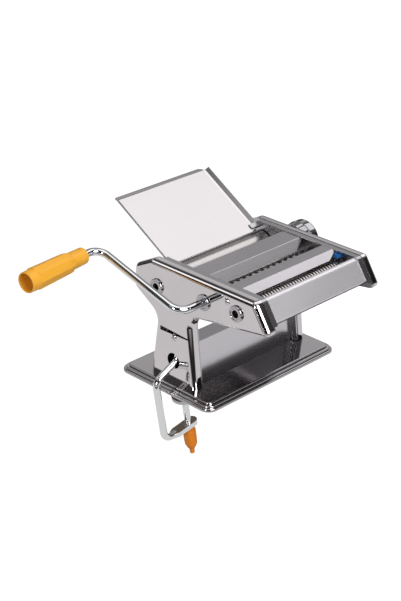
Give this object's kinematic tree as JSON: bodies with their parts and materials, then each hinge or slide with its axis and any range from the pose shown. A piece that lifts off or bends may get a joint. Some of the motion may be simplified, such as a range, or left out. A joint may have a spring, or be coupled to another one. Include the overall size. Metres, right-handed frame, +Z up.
{
  "type": "pasta machine",
  "caption": "Hand-cranked table-top pasta machine with smooth rollers, two cutters, feed tray, thickness knob, removable crank and a screw clamp for the table edge.",
  "frame": {"origin": "centre of the underside of the base board, on the table", "axes": "+X along the rollers away from the crank, +Y to the feed tray's side, +Z up"},
  "size_m": [0.3463, 0.2486, 0.2799],
  "materials": {
    "cover_chrome": "polished",
    "base_chrome": "polished",
    "plate_steel": "satin",
    "tray_steel": "bright",
    "frame_steel": "satin",
    "roller_steel": "polished",
    "hardware_steel": "satin",
    "gear_brass": "satin",
    "bush_brass": "satin",
    "blue_plastic": "gloss",
    "comb_plastic": "matt",
    "base_wood": "matt",
    "crank_chrome": "polished",
    "clamp_zinc": "bright",
    "grip_orange": "satin",
    "thumb_orange": "satin"
  },
  "bodies": {
    "frame": {"base_shell": "base_chrome", "base_board": "base_wood", "base_screws": "hardware_steel", "side_cover_crank": "cover_chrome", "side_cover_knob": "cover_chrome", "inner_frame_crank": "frame_steel", "inner_frame_knob": "frame_steel", "cover_posts": "hardware_steel", "cover_screws": "cover_chrome", "tie_rods": "hardware_steel", "tie_nuts": "hardware_steel", "front_panel": "plate_steel", "guide_plate_rear": "plate_steel", "guide_plate_front": "plate_steel", "front_cover": "plate_steel", "throat_cheeks": "blue_plastic", "tray_rests": "hardware_steel", "drive_rings": "cover_chrome", "roller_bushes": "bush_brass", "wide_bushes": "bush_brass", "narrow_bushes": "comb_plastic", "wide_combs": "comb_plastic", "narrow_combs": "comb_plastic", "roller_scraper": "hardware_steel", "regulator_bush": "cover_chrome", "index_pin": "hardware_steel"},
    "smooth_drive": {"smooth_roller": "roller_steel", "smooth_gear": "gear_brass"},
    "gap_carrier": {"gap_block_crank": "bush_brass", "gap_block_knob": "bush_brass", "gap_scraper": "hardware_steel"},
    "adjustable": {"adjustable_roller": "roller_steel", "adjustable_gear": "gear_brass"},
    "regulator": {"regulator_shaft": "hardware_steel", "knob_retainer": "hardware_steel"},
    "knob": {"regulator_knob": "cover_chrome", "knob_cap": "cover_chrome", "knob_spring": "hardware_steel"},
    "wide_drive": {"wide_drive_roller": "roller_steel", "wide_drive_gear": "gear_brass"},
    "wide_counter": {"wide_counter_roller": "roller_steel", "wide_counter_gear": "gear_brass"},
    "narrow_drive": {"narrow_drive_roller": "roller_steel", "narrow_drive_gear": "gear_brass"},
    "narrow_counter": {"narrow_counter_roller": "roller_steel", "narrow_counter_gear": "gear_brass"},
    "crank": {"crank_rod": "crank_chrome", "grip_washer": "hardware_steel"},
    "grip": {"crank_grip": "grip_orange"},
    "tray": {"feed_tray": "tray_steel"},
    "clamp": {"clamp_frame": "clamp_zinc"},
    "pad": {"clamp_pad": "hardware_steel"},
    "screw": {"clamp_screw": "clamp_zinc", "clamp_thumb": "thumb_orange"}
  },
  "joints": [
    {"name": "smooth_spin", "type": "hinge", "parent": "frame", "child": "smooth_drive", "pos_m": [0, 0.023, 0.1126], "axis": [1, 0, 0], "continuous": true},
    {"name": "gap_slide", "type": "slide", "parent": "frame", "child": "gap_carrier", "axis": [0, -0.9829, 0.184], "range_m": [0, 0.0024]},
    {"name": "adjustable_spin", "type": "hinge", "parent": "gap_carrier", "child": "adjustable", "pos_m": [0, -0.00806, 0.11841], "axis": [1, 0, 0], "continuous": true},
    {"name": "regulator_turn", "type": "hinge", "parent": "frame", "child": "regulator", "pos_m": [0.089, -0.00806, 0.11841], "axis": [1, 0, 0], "range_deg": [0, 180]},
    {"name": "knob_pull", "type": "slide", "parent": "regulator", "child": "knob", "axis": [1, 0, 0], "range_m": [0, 0.004], "stiffness_N_per_m": 800, "deforming": ["knob_spring"]},
    {"name": "wide_spin", "type": "hinge", "parent": "frame", "child": "wide_drive", "pos_m": [0, -0.04556, 0.11788], "axis": [1, 0, 0], "continuous": true},
    {"name": "wide_counter_spin", "type": "hinge", "parent": "frame", "child": "wide_counter", "pos_m": [0, -0.06206, 0.11788], "axis": [1, 0, 0], "continuous": true},
    {"name": "narrow_spin", "type": "hinge", "parent": "frame", "child": "narrow_drive", "pos_m": [0, -0.09186, 0.12144], "axis": [1, 0, 0], "continuous": true},
    {"name": "narrow_counter_spin", "type": "hinge", "parent": "frame", "child": "narrow_counter", "pos_m": [0, -0.10836, 0.12144], "axis": [1, 0, 0], "continuous": true},
    {"name": "crank_pull", "type": "slide", "parent": "wide_drive", "child": "crank", "axis": [-1, 0, 0], "range_m": [0, 0.03]},
    {"name": "grip_spin", "type": "hinge", "parent": "crank", "child": "grip", "pos_m": [-0.124, 0.07495, 0.15107], "axis": [-0.9957, -0.0891, -0.0245], "continuous": true},
    {"name": "tray_slide", "type": "slide", "parent": "frame", "child": "tray", "axis": [0, 0.859, 0.512], "range_m": [0, 0.04]},
    {"name": "clamp_swing", "type": "hinge", "parent": "frame", "child": "clamp", "pos_m": [-0.089, -0.002, 0.0292], "axis": [1, 0, 0], "range_deg": [-15, 15]},
    {"name": "screw_travel", "type": "slide", "parent": "clamp", "child": "pad", "axis": [-0.1736, 0, 0.9848], "range_m": [-0.0192, 0.0025]},
    {"name": "screw_turn", "type": "hinge", "parent": "pad", "child": "screw", "pos_m": [-0.07301, -0.002, -0.01368], "axis": [-0.1736, 0, 0.9848], "range_deg": [-5528.6, 719]}
  ],
  "couplings": [
    {"joint": "adjustable_spin", "follows": "smooth_spin", "ratio": -1},
    {"joint": "wide_counter_spin", "follows": "wide_spin", "ratio": -1},
    {"joint": "narrow_counter_spin", "follows": "narrow_spin", "ratio": -1},
    {"joint": "regulator_turn", "follows": "gap_slide", "rad_per_m": 1309},
    {"joint": "screw_travel", "follows": "screw_turn", "m_per_rad": 0.00019894}
  ]
}
